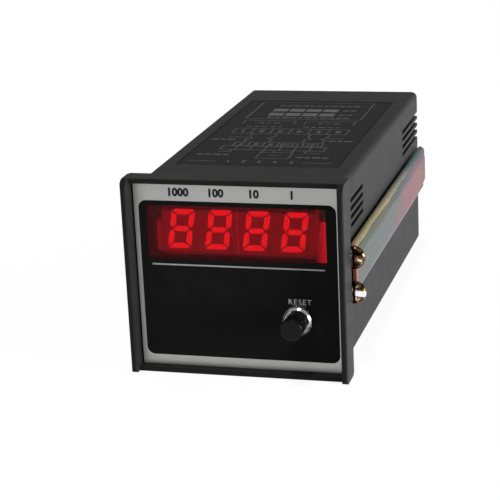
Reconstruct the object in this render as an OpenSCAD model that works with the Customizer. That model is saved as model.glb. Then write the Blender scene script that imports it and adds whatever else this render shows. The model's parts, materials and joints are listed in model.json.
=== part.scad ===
// Panel counter: four red digits and a reset button in a deep moulded case that clamps behind a panel.
// X is to the right seen from the front, Y runs from front to rear, Z is up. Sizes are millimetres.
// The origin is the middle of the bezel's rear face, where the panel's front surface lies.

/* [Bezel] */
// Width of the bezel
bezel_w = 72; // [70:0.5:78]
// Height of the bezel
bezel_h = 65; // [64:0.5:72]
// How far the two side posts stand in front of the panel
post_depth = 9.6; // [9:0.1:11]
// How far the top and bottom rails stand in front of the panel
rail_depth = 7; // [6.4:0.1:7.6]
// Width of a side post seen from the front
post_w = 2; // [1.6:0.1:2.4]
// Height of the top and bottom rails seen from the front
rail_h = 1.6; // [1.4:0.1:2]
// Rounding of the top front corner of a post
post_top_r = 3; // [1:0.1:4]
// Rounding of the bottom front corner of a post
post_bottom_r = 1.2; // [0.6:0.1:2]

/* [Case] */
// Length of the case behind the panel
case_len = 140; // [138:1:160]
// How far the bezel overhangs the case on every side
overhang = 2.7; // [2.4:0.1:3.2]
// Wall thickness of the case
case_wall = 2.4; // [2.2:0.1:2.6]
// Rounding of the long edges of the case
case_r = 2.1; // [1.4:0.1:2.6]
// Height of one vent slot
vent_h = 1.5; // [1:0.1:1.6]
// Distance from one vent slot to the next
vent_pitch = 2.75; // [2.5:0.05:2.9]
// Number of vent slots in a group
vent_count = 4; // [2:1:4]
// Depth of the label recess in the top
label_recess = 0.3; // [0.25:0.05:0.6]

/* [Front] */
// Thickness of the front plate
plate_t = 1.2; // [1:0.1:1.4]
// How far the front plate lies behind the front of the posts
plate_recess = 5.4; // [5:0.1:5.8]
// Gap between the front plate and each post
plate_gap = 0.6; // [0.3:0.1:0.8]
// Distance from the bezel's side to the display window
window_side = 6.6; // [6:0.1:8]
// Distance from the bezel's top to the display window
window_top = 9; // [8.4:0.1:9.6]
// Height of the display window
window_h = 18; // [17:0.2:18.6]

/* [Digits] */
// Width of a two-digit display module
module_w = 24.8; // [24.4:0.1:25.2]
// Height of a display module
module_h = 17; // [16:0.1:18]
// Depth of a display module
module_d = 8; // [7:0.1:9]
// Height of a digit
digit_h = 13; // [12:0.1:14]
// Width of a digit across its segments
digit_w = 7.7; // [7:0.1:8.2]
// Width of one segment
segment_t = 1.75; // [1.4:0.05:2]
// Gap between two segments
segment_gap = 0.4; // [0.2:0.05:0.5]
// Slant of the digits in degrees
slant = 9.5; // [6:0.5:11]

/* [Reset button] */
// Distance of the button's axis from the right edge of the bezel
reset_from_right = 16; // [15:0.1:18]
// Distance of the button's axis from the bottom edge of the bezel
reset_from_bottom = 20.2; // [19.5:0.1:21]
// Diameter of the button's cap
cap_d = 7.1; // [6.6:0.1:7.3]
// Outer diameter of the knurled nut
nut_d = 9.4; // [9.2:0.1:10]
// How far the nut stands in front of the plate
nut_h = 4.8; // [4.4:0.1:5.4]
// How far the cap stands in front of the nut
cap_out = 7.8; // [7:0.1:9]
// Travel of the button
reset_travel = 2.5; // [1.5:0.1:2.6]

/* [Side brackets] */
// Thickness of the bracket's sheet
sheet_t = 1.2; // [1:0.1:1.4]
// Height of the bracket's channel
bracket_h = 16.3; // [15.8:0.1:17]
// Gap between the case and the bracket's web
bracket_gap = 2; // [1.8:0.1:2.4]
// Distance from the panel plane to the front of the bracket's foot
foot_y = 5.6; // [5:0.1:7]
// Diameter of a clamp screw's head
clamp_head_d = 7.4; // [7:0.1:8]
// Distance between the two clamp screws of a bracket
clamp_pitch = 11.6; // [11:0.1:12]

/* [Rear] */
// Terminals in one row
terminal_count = 6; // [4:1:6]
// Distance from one terminal to the next
terminal_pitch = 8.2; // [7.6:0.1:8.4]
// How far the terminal blocks stand behind the rear panel
terminal_depth = 11; // [10:0.5:13]

/* [Hidden] */
$fn = 48;
eps = 0.01;
clr = 0.1;
case_w = bezel_w - 2 * overhang;
case_h = bezel_h - 2 * overhang;
in_w = case_w - 2 * case_wall;
in_h = case_h - 2 * case_wall;
recess_w = bezel_w - 2 * post_w;
recess_h = bezel_h - 2 * rail_h;
plate_w = recess_w - 2 * plate_gap;
plate_h = recess_h - 0.3;
plate_y = plate_recess - post_depth;
plate_back = plate_y + plate_t;
ledge_t = 1.2;
case_front = plate_back + ledge_t;
ledge_w = recess_w - 4;
ledge_h = recess_h - 4;
// Snap tabs of the bezel inside the case
tab_w = 8;
tab_t = 1.2;
tab_x = 0.27 * case_w;
tab_end = case_front + 9;
tab_nose = 0.9;
// Display
window_w = bezel_w - 2 * window_side;
window_z = bezel_h / 2 - window_top - window_h / 2;
pane_flange = 0.5;
face_y = plate_back + pane_flange + 0.4;
board_t = 1.6;
digit_pitch = module_w / 2;
digit_z = window_z + 0.6;
digit_shift = 0.05;
pin_pitch = 2.54;
// Pins on each side of the middle pin of a module's row
pin_side = floor((module_w / 2 - 1.6) / pin_pitch);
// Blocks beside the modules: the left one is straight, the right one stands between the module and the
// wall and has a wedge towards the module
left_block_t = 2.3;
right_block_t = 1.9;
right_block_x = (in_w / 2 + module_w) / 2;
wedge_x = module_w + 0.15;
wedge_foot = 2.2;
dboard_y = face_y + module_d;
segment_lift = 0.2;
// Main board and the rails that carry it
mboard_z = -in_h / 2 + 5.6;
mboard_y0 = dboard_y + board_t + 4;
rail_in = 2.6;
// Rear
panel_t = 2.5;
panel_y = case_len - 6;
panel_out = panel_y + panel_t;
boss_r = 3.4;
boss_x = in_w / 2 - boss_r;
boss_z = in_h / 2 - boss_r;
rboard_y = panel_y - 8;
mboard_y1 = rboard_y - 3;
boss_len = panel_y - mboard_y1 - 0.5;
transformer_y = mboard_y1 - 36;
sink_y = transformer_y - 10;
row_z = in_h / 2 - 14.4;
block_w = terminal_count * terminal_pitch + 1.6;
block_h = 12;
// Reset button
reset_x = bezel_w / 2 - reset_from_right;
reset_z = reset_from_bottom - bezel_h / 2;
nut_front = plate_y - nut_h;
bush_r = 2.9;
bush_front = plate_y - 1.6;
cap_front = nut_front - cap_out;
cap_back = bush_front - reset_travel - 0.3;
plunger_r = 1.5;
switch_w = 8.6;
switch_len = 9;
switch_back = plate_back + switch_len;
// Side brackets
web_in = case_w / 2 + bracket_gap;
web_out = web_in + sheet_t;
bracket_top = 9;
bracket_bottom = bracket_top - bracket_h;
bracket_back = case_len - 2;
groove_d = 1.2;
lip_in = case_w / 2 - groove_d + 0.2;
upper_lip_in = web_in - 0.9;
clamp_pocket = 1.1;
clamp_x = case_w / 2 + clamp_head_d / 2 - clamp_pocket;
clamp_mid_z = -0.5;
foot_t = 2;
clamp_r = 1.25;
clamp_tail = 1;
// Label recess and vents
label_y0 = 22.5;
label_y1 = case_len - 19;
label_w = case_w - 11.4;
vent_top_z = 21.2;
vent_front = [14, 33.7];
vent_rear_y = case_len - 32.5;

// Shared shapes

// A flat outline in X and Z, drawn out along Y.
module along_y(y0, y1) {
  translate([0, y1, 0]) rotate([90, 0, 0]) linear_extrude(height = y1 - y0) children();
}

// A flat outline in Y and Z, drawn out along X.
module along_x(x0, x1) {
  translate([x0, 0, 0]) rotate([90, 0, 90]) linear_extrude(height = x1 - x0) children();
}

// A rectangle with rounded corners around the origin.
module rounded_rect(w, h, r) {
  square([w - 2 * r, h], center = true);
  square([w, h - 2 * r], center = true);
  for (sx = [-1, 1], sz = [-1, 1]) translate([sx * (w / 2 - r), sz * (h / 2 - r)]) circle(r = r);
}

// A block from its lowest to its highest corner.
module block(a, b) {
  translate(a) cube(b - a);
}

// A round bar along Y.
module bar_y(x, z, r, y0, y1) {
  translate([x, y0, z]) rotate([-90, 0, 0]) cylinder(r = r, h = y1 - y0);
}

// The same piece on the left and on the right.
module both_sides() {
  children();
  mirror([1, 0, 0]) children();
}

// What a rounding takes off a front corner of a post: up is 1 at the top and -1 at the bottom.
module corner_waste(r, up) {
  zc = up * (bezel_h / 2 - r);
  yc = r - post_depth;
  difference() {
    block([-bezel_w, yc - r - 1, min(zc, zc + up * (r + 1))], [bezel_w, yc, max(zc, zc + up * (r + 1))]);
    translate([-bezel_w - 1, yc, zc]) rotate([0, 90, 0]) cylinder(r = r, h = 2 * bezel_w + 2);
  }
}

// Case and bezel

module vent_slots(y0, y1) {
  for (i = [0 : vent_count - 1]) {
    z = vent_top_z - i * vent_pitch;
    block([in_w / 2 - 0.1, y0, z - vent_h / 2], [case_w / 2 + 1, y1, z + vent_h / 2]);
  }
}

module lip_groove(z0, z1) {
  block([case_w / 2 - groove_d, foot_y - 2, z0], [case_w / 2 + 1, case_len + 1, z1]);
}

module case_shell() {
  color([0.24, 0.24, 0.245]) difference() {
    union() {
      difference() {
        along_y(case_front, case_len) rounded_rect(case_w, case_h, case_r);
        along_y(case_front - 1, case_len + 1) rounded_rect(in_w, in_h, 0.8);
      }
      both_sides() {
        // Rails above and below the main board
        block([in_w / 2 - rail_in, mboard_y0, mboard_z - 2.2], [in_w / 2 + 1, mboard_y1, mboard_z]);
        block([in_w / 2 - rail_in, mboard_y0, mboard_z + board_t + 0.2],
          [in_w / 2 + 1, mboard_y1, mboard_z + board_t + 1.8]);
        // Ribs in front of and behind the display board
        block([in_w / 2 - rail_in, dboard_y - 1.4, -in_h / 2 + 3], [in_w / 2 + 1, dboard_y, -6]);
        block([in_w / 2 - rail_in, dboard_y + board_t, -in_h / 2 + 3],
          [in_w / 2 + 1, dboard_y + board_t + 1.4, in_h / 2 - 3]);
        // Bosses for the rear panel's screws
        for (sz = [-1, 1]) bar_y(boss_x, sz * boss_z, boss_r + 0.3, panel_y - boss_len, panel_y);
      }
    }
    both_sides() {
      vent_slots(vent_front[0], vent_front[1]);
      vent_slots(vent_rear_y, case_len + 1);
      lip_groove(bracket_bottom - 0.2, bracket_bottom + sheet_t + 0.2);
      // Slot for the bracket's hook
      block([in_w / 2 - 1, bracket_back - 39.9, -2.8], [case_w / 2 + 1, bracket_back - 38.4, 3.4]);
      // Shallow pockets for the heads of the clamp screws
      for (i = [0, 1]) bar_y(clamp_x, clamp_z(i), clamp_head_d / 2 + 0.25, 2, foot_y + foot_t + 0.3);
      for (sz = [-1, 1]) bar_y(boss_x, sz * boss_z, 1.25, panel_y - 9, panel_y + 1);
    }
    // Pockets for the bezel's snap tabs
    for (sx = [-1, 1], sz = [-1, 1]) translate([sx * tab_x, tab_end - 2.2, sz * in_h / 2])
      cube([tab_w + 1, 2.6, 2 * tab_nose + 0.6], center = true);
    block([-label_w / 2, label_y0, case_h / 2 - label_recess], [label_w / 2, label_y1, case_h / 2 + 1]);
  }
}

module post_outline() {
  r = 0.6;
  translate([bezel_w / 2 - post_w, -post_depth + r]) square([post_w, post_depth - r - 1]);
  translate([bezel_w / 2 - post_w + r, -post_depth]) square([post_w - 2 * r, post_depth - 1]);
  for (x = [bezel_w / 2 - post_w + r, bezel_w / 2 - r]) translate([x, -post_depth + r]) circle(r = r);
}

module snap_tab() {
  z1 = in_h / 2 - clr;
  block([-tab_w / 2, plate_back, z1 - tab_t], [tab_w / 2, tab_end, z1]);
  block([-tab_w / 2, plate_back, z1 - tab_t], [tab_w / 2, case_front, ledge_h / 2 + 0.5]);
  along_x(-tab_w / 2, tab_w / 2)
    polygon([[tab_end - 3.2, z1 - 0.2], [tab_end - 3.2, z1 + tab_nose], [tab_end, z1 - 0.2]]);
}

module front_bezel() {
  color([0.15, 0.15, 0.155]) {
    difference() {
      union() {
        along_y(-rail_depth, 0) rounded_rect(bezel_w, bezel_h, 0.6);
        both_sides() translate([0, 0, -bezel_h / 2]) linear_extrude(height = bezel_h) post_outline();
      }
      along_y(-post_depth - 1, plate_back) square([recess_w, recess_h], center = true);
      along_y(-post_depth - 1, 1) square([ledge_w, ledge_h], center = true);
      along_y(case_front, 1) rounded_rect(case_w + 2 * clr, case_h + 2 * clr, case_r + clr);
      corner_waste(post_top_r, 1);
      corner_waste(post_bottom_r, -1);
    }
    for (sx = [-1, 1]) translate([sx * tab_x, 0, 0]) {
      snap_tab();
      mirror([0, 0, 1]) snap_tab();
    }
  }
}

// Front plate, window and display

module front_plate() {
  color([0.62, 0.62, 0.62]) difference() {
    along_y(plate_y, plate_back) rounded_rect(plate_w, plate_h, 0.7);
    translate([0, 0, window_z]) along_y(plate_y - 1, plate_back + 1)
      square([window_w, window_h], center = true);
    bar_y(reset_x, reset_z, bush_r + 0.2, plate_y - 1, plate_back + 1);
  }
}

module red_window() {
  color([0.45, 0.03, 0.06]) translate([0, 0, window_z]) {
    along_y(plate_y + 0.1, plate_back + eps) square([window_w - 0.2, window_h - 0.2], center = true);
    along_y(plate_back, plate_back + pane_flange) square([window_w + 2, window_h + 2], center = true);
  }
}

module led_module(x) {
  difference() {
    block([x - module_w / 2 + 0.05, face_y, digit_z - module_h / 2],
      [x + module_w / 2 - 0.05, dboard_y, digit_z + module_h / 2]);
    // Hollow back around the pins
    block([x - module_w / 2 + 1.2, dboard_y - 2.2, digit_z - module_h / 2 + 3.6],
      [x + module_w / 2 - 1.2, dboard_y + 1, digit_z + module_h / 2 - 3.6]);
  }
}

module led_module_left() {
  color([0.30, 0.05, 0.07]) led_module(-module_w / 2);
}

module led_module_right() {
  color([0.30, 0.05, 0.07]) led_module(module_w / 2);
}

// Points of a digit lean over to the right by the slant.
function lean(points) = [for (p = points) [p[0] + p[1] * tan(slant), p[1]]];

// The upper bar of a digit; up is 1 for the top bar and -1 for the bottom bar.
function end_bar(up) = let (w = digit_w / 2, h = digit_h / 2, t = segment_t, g = segment_gap)
  [[-w + g + 0.5, up * h], [w - g - 0.5, up * h], [w - g, up * (h - 0.5)], [w - t - g, up * (h - t)],
   [-w + t + g, up * (h - t)], [-w + g, up * (h - 0.5)]];

function middle_bar() = let (w = digit_w / 2, t = segment_t, g = segment_gap)
  [[-w + t / 2 + g, 0], [-w + t + g, t / 2], [w - t - g, t / 2], [w - t / 2 - g, 0],
   [w - t - g, -t / 2], [-w + t + g, -t / 2]];

// A side bar of a digit; sx is the side and up says upper or lower half.
function side_bar(sx, up) = let (w = digit_w / 2, h = digit_h / 2, t = segment_t, g = segment_gap)
  [[sx * w, up * (h - 0.5 - g)], [sx * (w - t), up * (h - t - g)], [sx * (w - t), up * (t / 2 + g)],
   [sx * (w - t / 2), up * g], [sx * w, up * (t / 2 + g)]];

module digit() {
  polygon(lean(end_bar(1)));
  polygon(lean(end_bar(-1)));
  polygon(lean(middle_bar()));
  for (sx = [-1, 1], up = [-1, 1]) polygon(lean(side_bar(sx, up)));
  translate([digit_w / 2 + 0.35, -digit_h / 2 + 0.7]) circle(r = 0.65);
}

module led_segments(x) {
  for (i = [-0.5, 0.5]) translate([x + i * digit_pitch + digit_shift, 0, digit_z])
    along_y(face_y - segment_lift, face_y) digit();
}

module led_segments_left() {
  color([0.95, 0.10, 0.12]) led_segments(-module_w / 2);
}

module led_segments_right() {
  color([0.95, 0.10, 0.12]) led_segments(module_w / 2);
}

// Two moulded blocks on the display board, one against the left module and one beside the right module.
module display_holder() {
  color([0.75, 0.72, 0.70]) {
    block([-module_w - 0.1 - left_block_t, face_y + 1.2, digit_z - module_h / 2 + 0.8],
      [-module_w - 0.1, dboard_y, digit_z + module_h / 2 - 5]);
    foot_z = digit_z - module_h / 2 - 1.6;
    head_z = digit_z + module_h / 2 - 5;
    along_y(face_y + 1.2, dboard_y) {
      translate([right_block_x - right_block_t / 2, foot_z]) square([right_block_t, head_z - foot_z]);
      polygon([[wedge_x, foot_z], [wedge_x + wedge_foot, foot_z],
        [wedge_x + wedge_foot, head_z], [wedge_x + 1.6, head_z]]);
    }
  }
}

module led_pins() {
  color([0.75, 0.75, 0.72]) for (m = [-1, 1], i = [-pin_side : pin_side], up = [-1, 1]) {
    x = m * module_w / 2 + i * pin_pitch;
    z = digit_z + up * (module_h / 2 - 4.4);
    block([x - 0.25, dboard_y - 2.2, z - 0.25], [x + 0.25, dboard_y + board_t + 1.2, z + 0.25]);
  }
}

module pin_holes(m, y0) {
  for (i = [-pin_side : pin_side], up = [-1, 1])
    bar_y(m * module_w / 2 + i * pin_pitch, digit_z + up * (module_h / 2 - 4.4), 0.4,
      y0 - 1, y0 + board_t + 1);
}

module display_board() {
  color([0.10, 0.32, 0.18]) difference() {
    block([-in_w / 2 + clr, dboard_y, -in_h / 2 + 3.2], [in_w / 2 - clr, dboard_y + board_t, in_h / 2 - 1.6]);
    for (m = [-1, 1]) pin_holes(m, dboard_y);
    // Way through for the reset switch
    block([reset_x - switch_w / 2 - 0.4, dboard_y - 1, reset_z - switch_w / 2 - 0.4],
      [reset_x + switch_w / 2 + 0.4, dboard_y + board_t + 1, reset_z + switch_w / 2 + 0.4]);
    // Notches beside the bezel's snap tabs
    for (sx = [-1, 1]) block([sx * tab_x - tab_w / 2 - 1, dboard_y - 1, in_h / 2 - tab_t - 1],
      [sx * tab_x + tab_w / 2 + 1, dboard_y + board_t + 1, in_h / 2]);
    for (i = [-6 : 5]) bar_y(i * 2.54 + 1.27, mboard_z + 4.6, 0.45, dboard_y - 1, dboard_y + board_t + 1);
  }
}

// Bent pins from the display board down into the main board.
module board_pins() {
  color([0.80, 0.68, 0.35]) for (i = [-6 : 5]) {
    x = i * 2.54 + 1.27;
    block([x - 0.3, dboard_y - 1, mboard_z + 4.3], [x + 0.3, mboard_y0 + 3.3, mboard_z + 4.9]);
    block([x - 0.3, mboard_y0 + 2.7, mboard_z - 1], [x + 0.3, mboard_y0 + 3.3, mboard_z + 4.9]);
  }
}

// Main board and what stands on it

module main_board() {
  color([0.12, 0.36, 0.20]) difference() {
    block([-in_w / 2 + clr, mboard_y0, mboard_z], [in_w / 2 - clr, mboard_y1, mboard_z + board_t]);
    for (i = [-6 : 5]) translate([i * 2.54 + 1.27, mboard_y0 + 3, mboard_z - 1])
      cylinder(r = 0.5, h = board_t + 2);
    for (i = [-5 : 5]) translate([i * 4, mboard_y1 - 3, mboard_z - 1]) cylinder(r = 0.5, h = board_t + 2);
  }
}

// A chip with two rows of legs, long side along Y.
module chip(x, y, w, n) {
  z = mboard_z + board_t;
  len = n / 2 * 2.54 + 0.6;
  block([x - w / 2, y - len / 2, z + 0.6], [x + w / 2, y + len / 2, z + 3.8]);
  for (sx = [-1, 1], i = [0 : n / 2 - 1]) {
    py = y + (i - n / 4 + 0.5) * 2.54;
    block([x + sx * (w / 2 + 0.3) - 0.35, py - 0.3, z], [x + sx * (w / 2 + 0.3) + 0.35, py + 0.3, z + 2]);
  }
}

module counter_chip() {
  color([0.08, 0.08, 0.08]) chip(-14, mboard_y0 + 30, 13.8, 28);
}

module logic_chips() {
  color([0.09, 0.09, 0.10]) for (i = [0, 1]) chip(6, mboard_y0 + 19 + i * 24, 6.6, 14);
}

module driver_transistors() {
  z = mboard_z + board_t;
  color([0.07, 0.07, 0.07]) for (i = [0 : 3]) translate([3 + i * 6, mboard_y0 + 7, z]) {
    translate([0, 0, 2.4]) difference() {
      cylinder(r = 2.3, h = 4.6);
      translate([-3, 1.2, -1]) cube([6, 3, 7]);
    }
    for (d = [-1.27, 0, 1.27]) translate([d - 0.2, -0.2, 0]) cube([0.4, 0.4, 3]);
  }
}

module resistor_networks() {
  z = mboard_z + board_t;
  color([0.62, 0.18, 0.12]) for (x = [15, 19]) {
    block([x - 1.1, mboard_y0 + 12, z + 0.8], [x + 1.1, mboard_y0 + 32, z + 5.6]);
    for (i = [0 : 7])
      block([x - 0.2, mboard_y0 + 12.9 + i * 2.54, z], [x + 0.2, mboard_y0 + 13.5 + i * 2.54, z + 1]);
  }
}

module filter_capacitors() {
  z = mboard_z + board_t;
  color([0.12, 0.14, 0.30]) for (i = [0, 1]) translate([18, mboard_y0 + 42 + i * 15, z]) {
    cylinder(r = 6, h = 22);
    translate([0, 0, 21.9]) cylinder(r = 5.2, h = 0.5);
  }
}

module regulator() {
  z = mboard_z + board_t;
  y = sink_y - 4.4;
  color([0.10, 0.10, 0.11]) {
    block([-19, y, z + 4], [-9, sink_y, z + 13]);
    block([-19, y + 3.1, z + 12.9], [-9, sink_y, z + 19]);
    for (d = [-2.54, 0, 2.54]) block([-14.4 + d, y + 1.4, z], [-13.6 + d, y + 2.2, z + 4.5]);
  }
}

module heat_sink() {
  z = mboard_z + board_t;
  color([0.20, 0.20, 0.21]) {
    block([-25, sink_y, z], [-3, sink_y + 2, z + 26]);
    for (i = [0 : 5]) block([-25 + i * 4.1, sink_y + 1.9, z], [-23.5 + i * 4.1, sink_y + 7, z + 26]);
  }
}

module transformer_core() {
  z = mboard_z + board_t;
  color([0.35, 0.34, 0.33]) difference() {
    block([-19, transformer_y + 6, z], [19, transformer_y + 20, z + 32]);
    for (sx = [-1, 1])
      block([sx * 9.7 - 3.4, transformer_y - 1, z + 6.2], [sx * 9.7 + 3.4, transformer_y + 30, z + 25.8]);
  }
}

module transformer_coil() {
  z = mboard_z + board_t;
  color([0.72, 0.60, 0.28]) difference() {
    block([-12.8, transformer_y, z + 6.4], [12.8, transformer_y + 26, z + 25.6]);
    block([-6.3, transformer_y + 5.9, z], [6.3, transformer_y + 20.1, z + 30]);
    for (sx = [-1, 1])
      block([sx * 16.1 - 3, transformer_y + 5.9, z], [sx * 16.1 + 3, transformer_y + 20.1, z + 30]);
  }
}

// Rear

module rear_board() {
  color([0.10, 0.32, 0.18]) difference() {
    block([-in_w / 2 + 2 * boss_r + 1, rboard_y, mboard_z - 3],
      [in_w / 2 - 2 * boss_r - 1, rboard_y + board_t, row_z + 7]);
    for (sz = [-1, 1], i = [0 : terminal_count - 1])
      bar_y(terminal_x(i), sz * row_z, 0.8, rboard_y - 1, rboard_y + board_t + 1);
    for (i = [-5 : 5]) bar_y(i * 4, mboard_z + 4.6, 0.5, rboard_y - 1, rboard_y + board_t + 1);
  }
}

function terminal_x(i) = (i - (terminal_count - 1) / 2) * terminal_pitch;

module rear_pins() {
  color([0.80, 0.68, 0.35]) for (i = [-5 : 5]) {
    x = i * 4;
    block([x - 0.3, mboard_y1 - 3.3, mboard_z + 4.3], [x + 0.3, rboard_y + board_t + 1, mboard_z + 4.9]);
    block([x - 0.3, mboard_y1 - 3.3, mboard_z - 1], [x + 0.3, mboard_y1 - 2.7, mboard_z + 4.9]);
  }
}

module rear_panel() {
  color([0.12, 0.12, 0.125]) difference() {
    along_y(panel_y, panel_out) rounded_rect(in_w - 0.2, in_h - 0.2, 0.8);
    for (sx = [-1, 1], sz = [-1, 1]) bar_y(sx * boss_x, sz * boss_z, 1.7, panel_y - 1, panel_out + 1);
    for (sz = [-1, 1], i = [0 : terminal_count - 1])
      bar_y(terminal_x(i), sz * row_z, 0.8, panel_y - 1, panel_out + 1);
    // Air slots between the two rows of terminals
    air = row_z - block_h / 2 - 3;
    for (x = [-18 : 6 : 18]) block([x - 1, panel_y - 1, -air], [x + 1, panel_out + 1, air]);
  }
}

// A barrier block: a base with a wall between every two terminals.
module terminal_block(z) {
  color([0.06, 0.06, 0.065]) difference() {
    block([-block_w / 2, panel_out, z - block_h / 2],
      [block_w / 2, panel_out + terminal_depth, z + block_h / 2]);
    for (i = [0 : terminal_count - 1]) {
      block([terminal_x(i) - terminal_pitch / 2 + 0.8, panel_out + 5, z - block_h],
        [terminal_x(i) + terminal_pitch / 2 - 0.8, panel_out + terminal_depth + 1, z + block_h]);
      bar_y(terminal_x(i), z, 1.9, panel_out - 1, panel_out + terminal_depth);
    }
  }
}

module terminal_block_upper() {
  terminal_block(row_z);
}

module terminal_block_lower() {
  terminal_block(-row_z);
}

// Brass plates under the screws, each with a stem and a tail into the rear board.
module terminal_plates(z) {
  color([0.80, 0.66, 0.32]) for (i = [0 : terminal_count - 1]) {
    x = terminal_x(i);
    difference() {
      union() {
        block([x - terminal_pitch / 2 + 0.9, panel_out + 5, z - 4.6],
          [x + terminal_pitch / 2 - 0.9, panel_out + 6, z + 4.6]);
        bar_y(x, z, 1.8, panel_out + 0.2, panel_out + 5.1);
        bar_y(x, z, 0.6, rboard_y - 1, panel_out + 0.3);
      }
      bar_y(x, z, 1.3, panel_out + 1.5, panel_out + 7);
    }
  }
}

module terminal_plates_upper() {
  terminal_plates(row_z);
}

module terminal_plates_lower() {
  terminal_plates(-row_z);
}

// A cross recess for a screw head whose top faces +Y.
module cross_recess(x, z, y, size) {
  for (a = [0, 90]) translate([x, y, z]) rotate([0, a, 0]) cube([size, 1.6, 0.7], center = true);
}

module terminal_screws(z) {
  color([0.72, 0.72, 0.70]) for (i = [0 : terminal_count - 1]) {
    x = terminal_x(i);
    difference() {
      union() {
        bar_y(x, z, 1.2, panel_out + 2, panel_out + 6.3);
        translate([x, panel_out + 6.2, z]) cube([5.6, 0.4, 5.6], center = true);
        bar_y(x, z, 2.8, panel_out + 6.3, panel_out + 8.4);
      }
      cross_recess(x, z, panel_out + 8.4, 3.6);
    }
  }
}

module terminal_screws_upper() {
  terminal_screws(row_z);
}

module terminal_screws_lower() {
  terminal_screws(-row_z);
}

module rear_screws() {
  color([0.35, 0.35, 0.36]) for (sx = [-1, 1], sz = [-1, 1]) difference() {
    union() {
      bar_y(sx * boss_x, sz * boss_z, 1.15, panel_y - 8, panel_out + 0.1);
      bar_y(sx * boss_x, sz * boss_z, 2.7, panel_out, panel_out + 1.9);
    }
    cross_recess(sx * boss_x, sz * boss_z, panel_out + 1.9, 3.2);
  }
}

module top_label() {
  color([0.21, 0.21, 0.215]) block([-label_w / 2 + 0.15, label_y0 + 0.15, case_h / 2 - label_recess],
    [label_w / 2 - 0.15, label_y1 - 0.15, case_h / 2 - label_recess + 0.2]);
}

// Reset button

module reset_switch() {
  color([0.10, 0.10, 0.11]) difference() {
    block([reset_x - switch_w / 2, plate_back, reset_z - switch_w / 2],
      [reset_x + switch_w / 2, switch_back, reset_z + switch_w / 2]);
    bar_y(reset_x, reset_z, bush_r + 0.1, plate_back - 1, plate_back + 1.2);
    bar_y(reset_x, reset_z, 3, plate_back + 1.1, switch_back - 1);
  }
}

module reset_lugs() {
  color([0.78, 0.76, 0.70]) for (sz = [-1, 1]) {
    z = reset_z + sz * 2.4;
    block([reset_x - 0.4, switch_back, z - 0.8], [reset_x + 0.4, switch_back + 2.5, z + 0.8]);
    block([reset_x - switch_w / 2 - 2.4, dboard_y + board_t, z - 0.8],
      [reset_x + 0.4, dboard_y + board_t + 0.4, z + 0.8]);
    block([reset_x - 0.4, dboard_y + board_t, z - 0.8], [reset_x + 0.4, switch_back + 0.1, z + 0.8]);
  }
}

module reset_bush() {
  color([0.70, 0.70, 0.70]) difference() {
    bar_y(reset_x, reset_z, bush_r, bush_front, plate_back + 1.2);
    bar_y(reset_x, reset_z, plunger_r + 0.35, bush_front - 1, plate_back + 2);
  }
}

knurl_count = 36;

module reset_nut() {
  r = nut_d / 2;
  bore = cap_d / 2 + 0.35;
  color([0.82, 0.82, 0.82]) translate([reset_x, plate_y, reset_z]) rotate([90, 0, 0]) difference() {
    union() {
      linear_extrude(height = nut_h - 0.6)
        polygon([for (i = [0 : 2 * knurl_count - 1])
          (r - (i % 2) * 0.28) * [cos(i * 180 / knurl_count), sin(i * 180 / knurl_count)]]);
      translate([0, 0, nut_h - 0.65]) cylinder(r1 = r - 0.1, r2 = bore + 0.12, h = 0.65);
    }
    translate([0, 0, -1]) cylinder(r = bush_r + 0.1, h = nut_h + 2);
    translate([0, 0, 1.8]) cylinder(r = bore, h = nut_h);
  }
}

module reset_button() {
  color([0.03, 0.03, 0.035]) translate([reset_x, cap_back, reset_z]) rotate([90, 0, 0]) {
    h = cap_back - cap_front;
    rotate_extrude() {
      square([cap_d / 2, h - 0.5]);
      square([cap_d / 2 - 0.5, h]);
      translate([cap_d / 2 - 0.5, h - 0.5]) circle(r = 0.5);
    }
    translate([0, 0, cap_back - (switch_back - 1 - reset_travel - 0.6)])
      cylinder(r = plunger_r, h = switch_back - 1 - reset_travel - 0.6 - cap_back + 0.5);
  }
}

// Return spring around the plunger, inside the switch: a square wire wound four and a half turns.
module reset_spring() {
  y0 = plate_back + 1.4;
  y1 = switch_back - 1.1;
  turn = 135;
  arc = [0 : 22.5 : turn];
  color([0.80, 0.80, 0.78]) translate([reset_x, y1, reset_z]) rotate([90, 0, 0])
    linear_extrude(height = y1 - y0, twist = 1620, slices = 54, $fn = 8)
      polygon(concat([for (a = arc) 2.65 * [cos(a), sin(a)]],
        [for (a = arc) 2.05 * [cos(turn - a), sin(turn - a)]]));
}

// Side brackets and their screws

function clamp_z(i) = clamp_mid_z + (i - 0.5) * clamp_pitch;

// The channel seen from the end: a web, an upper lip that stops short of the case, and a lower lip that
// reaches into the case's groove.
module channel_outline() {
  mid = (bracket_top + bracket_bottom) / 2;
  intersection() {
    translate([web_out - 10, mid]) difference() {
      rounded_rect(20, bracket_h, 1.8);
      rounded_rect(20 - 2 * sheet_t, bracket_h - 2 * sheet_t, 0.6);
    }
    union() {
      translate([lip_in, bracket_bottom - 1]) square([20, bracket_h / 2 + 1]);
      translate([upper_lip_in, mid - 1]) square([20, bracket_h / 2 + 2]);
    }
  }
}

// The channel seen from the side, with its shaped rear end.
module channel_side() {
  polygon([[foot_y, bracket_bottom], [bracket_back - 12, bracket_bottom],
    [bracket_back - 3.5, bracket_bottom + 1.1],
    [bracket_back - 5, bracket_bottom + 2.4], [bracket_back, bracket_bottom + 3.3],
    [bracket_back, bracket_top - 4.4],
    [bracket_back - 1.2, bracket_top - 3.4], [bracket_back - 1.2, bracket_top], [foot_y, bracket_top]]);
}

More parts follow.
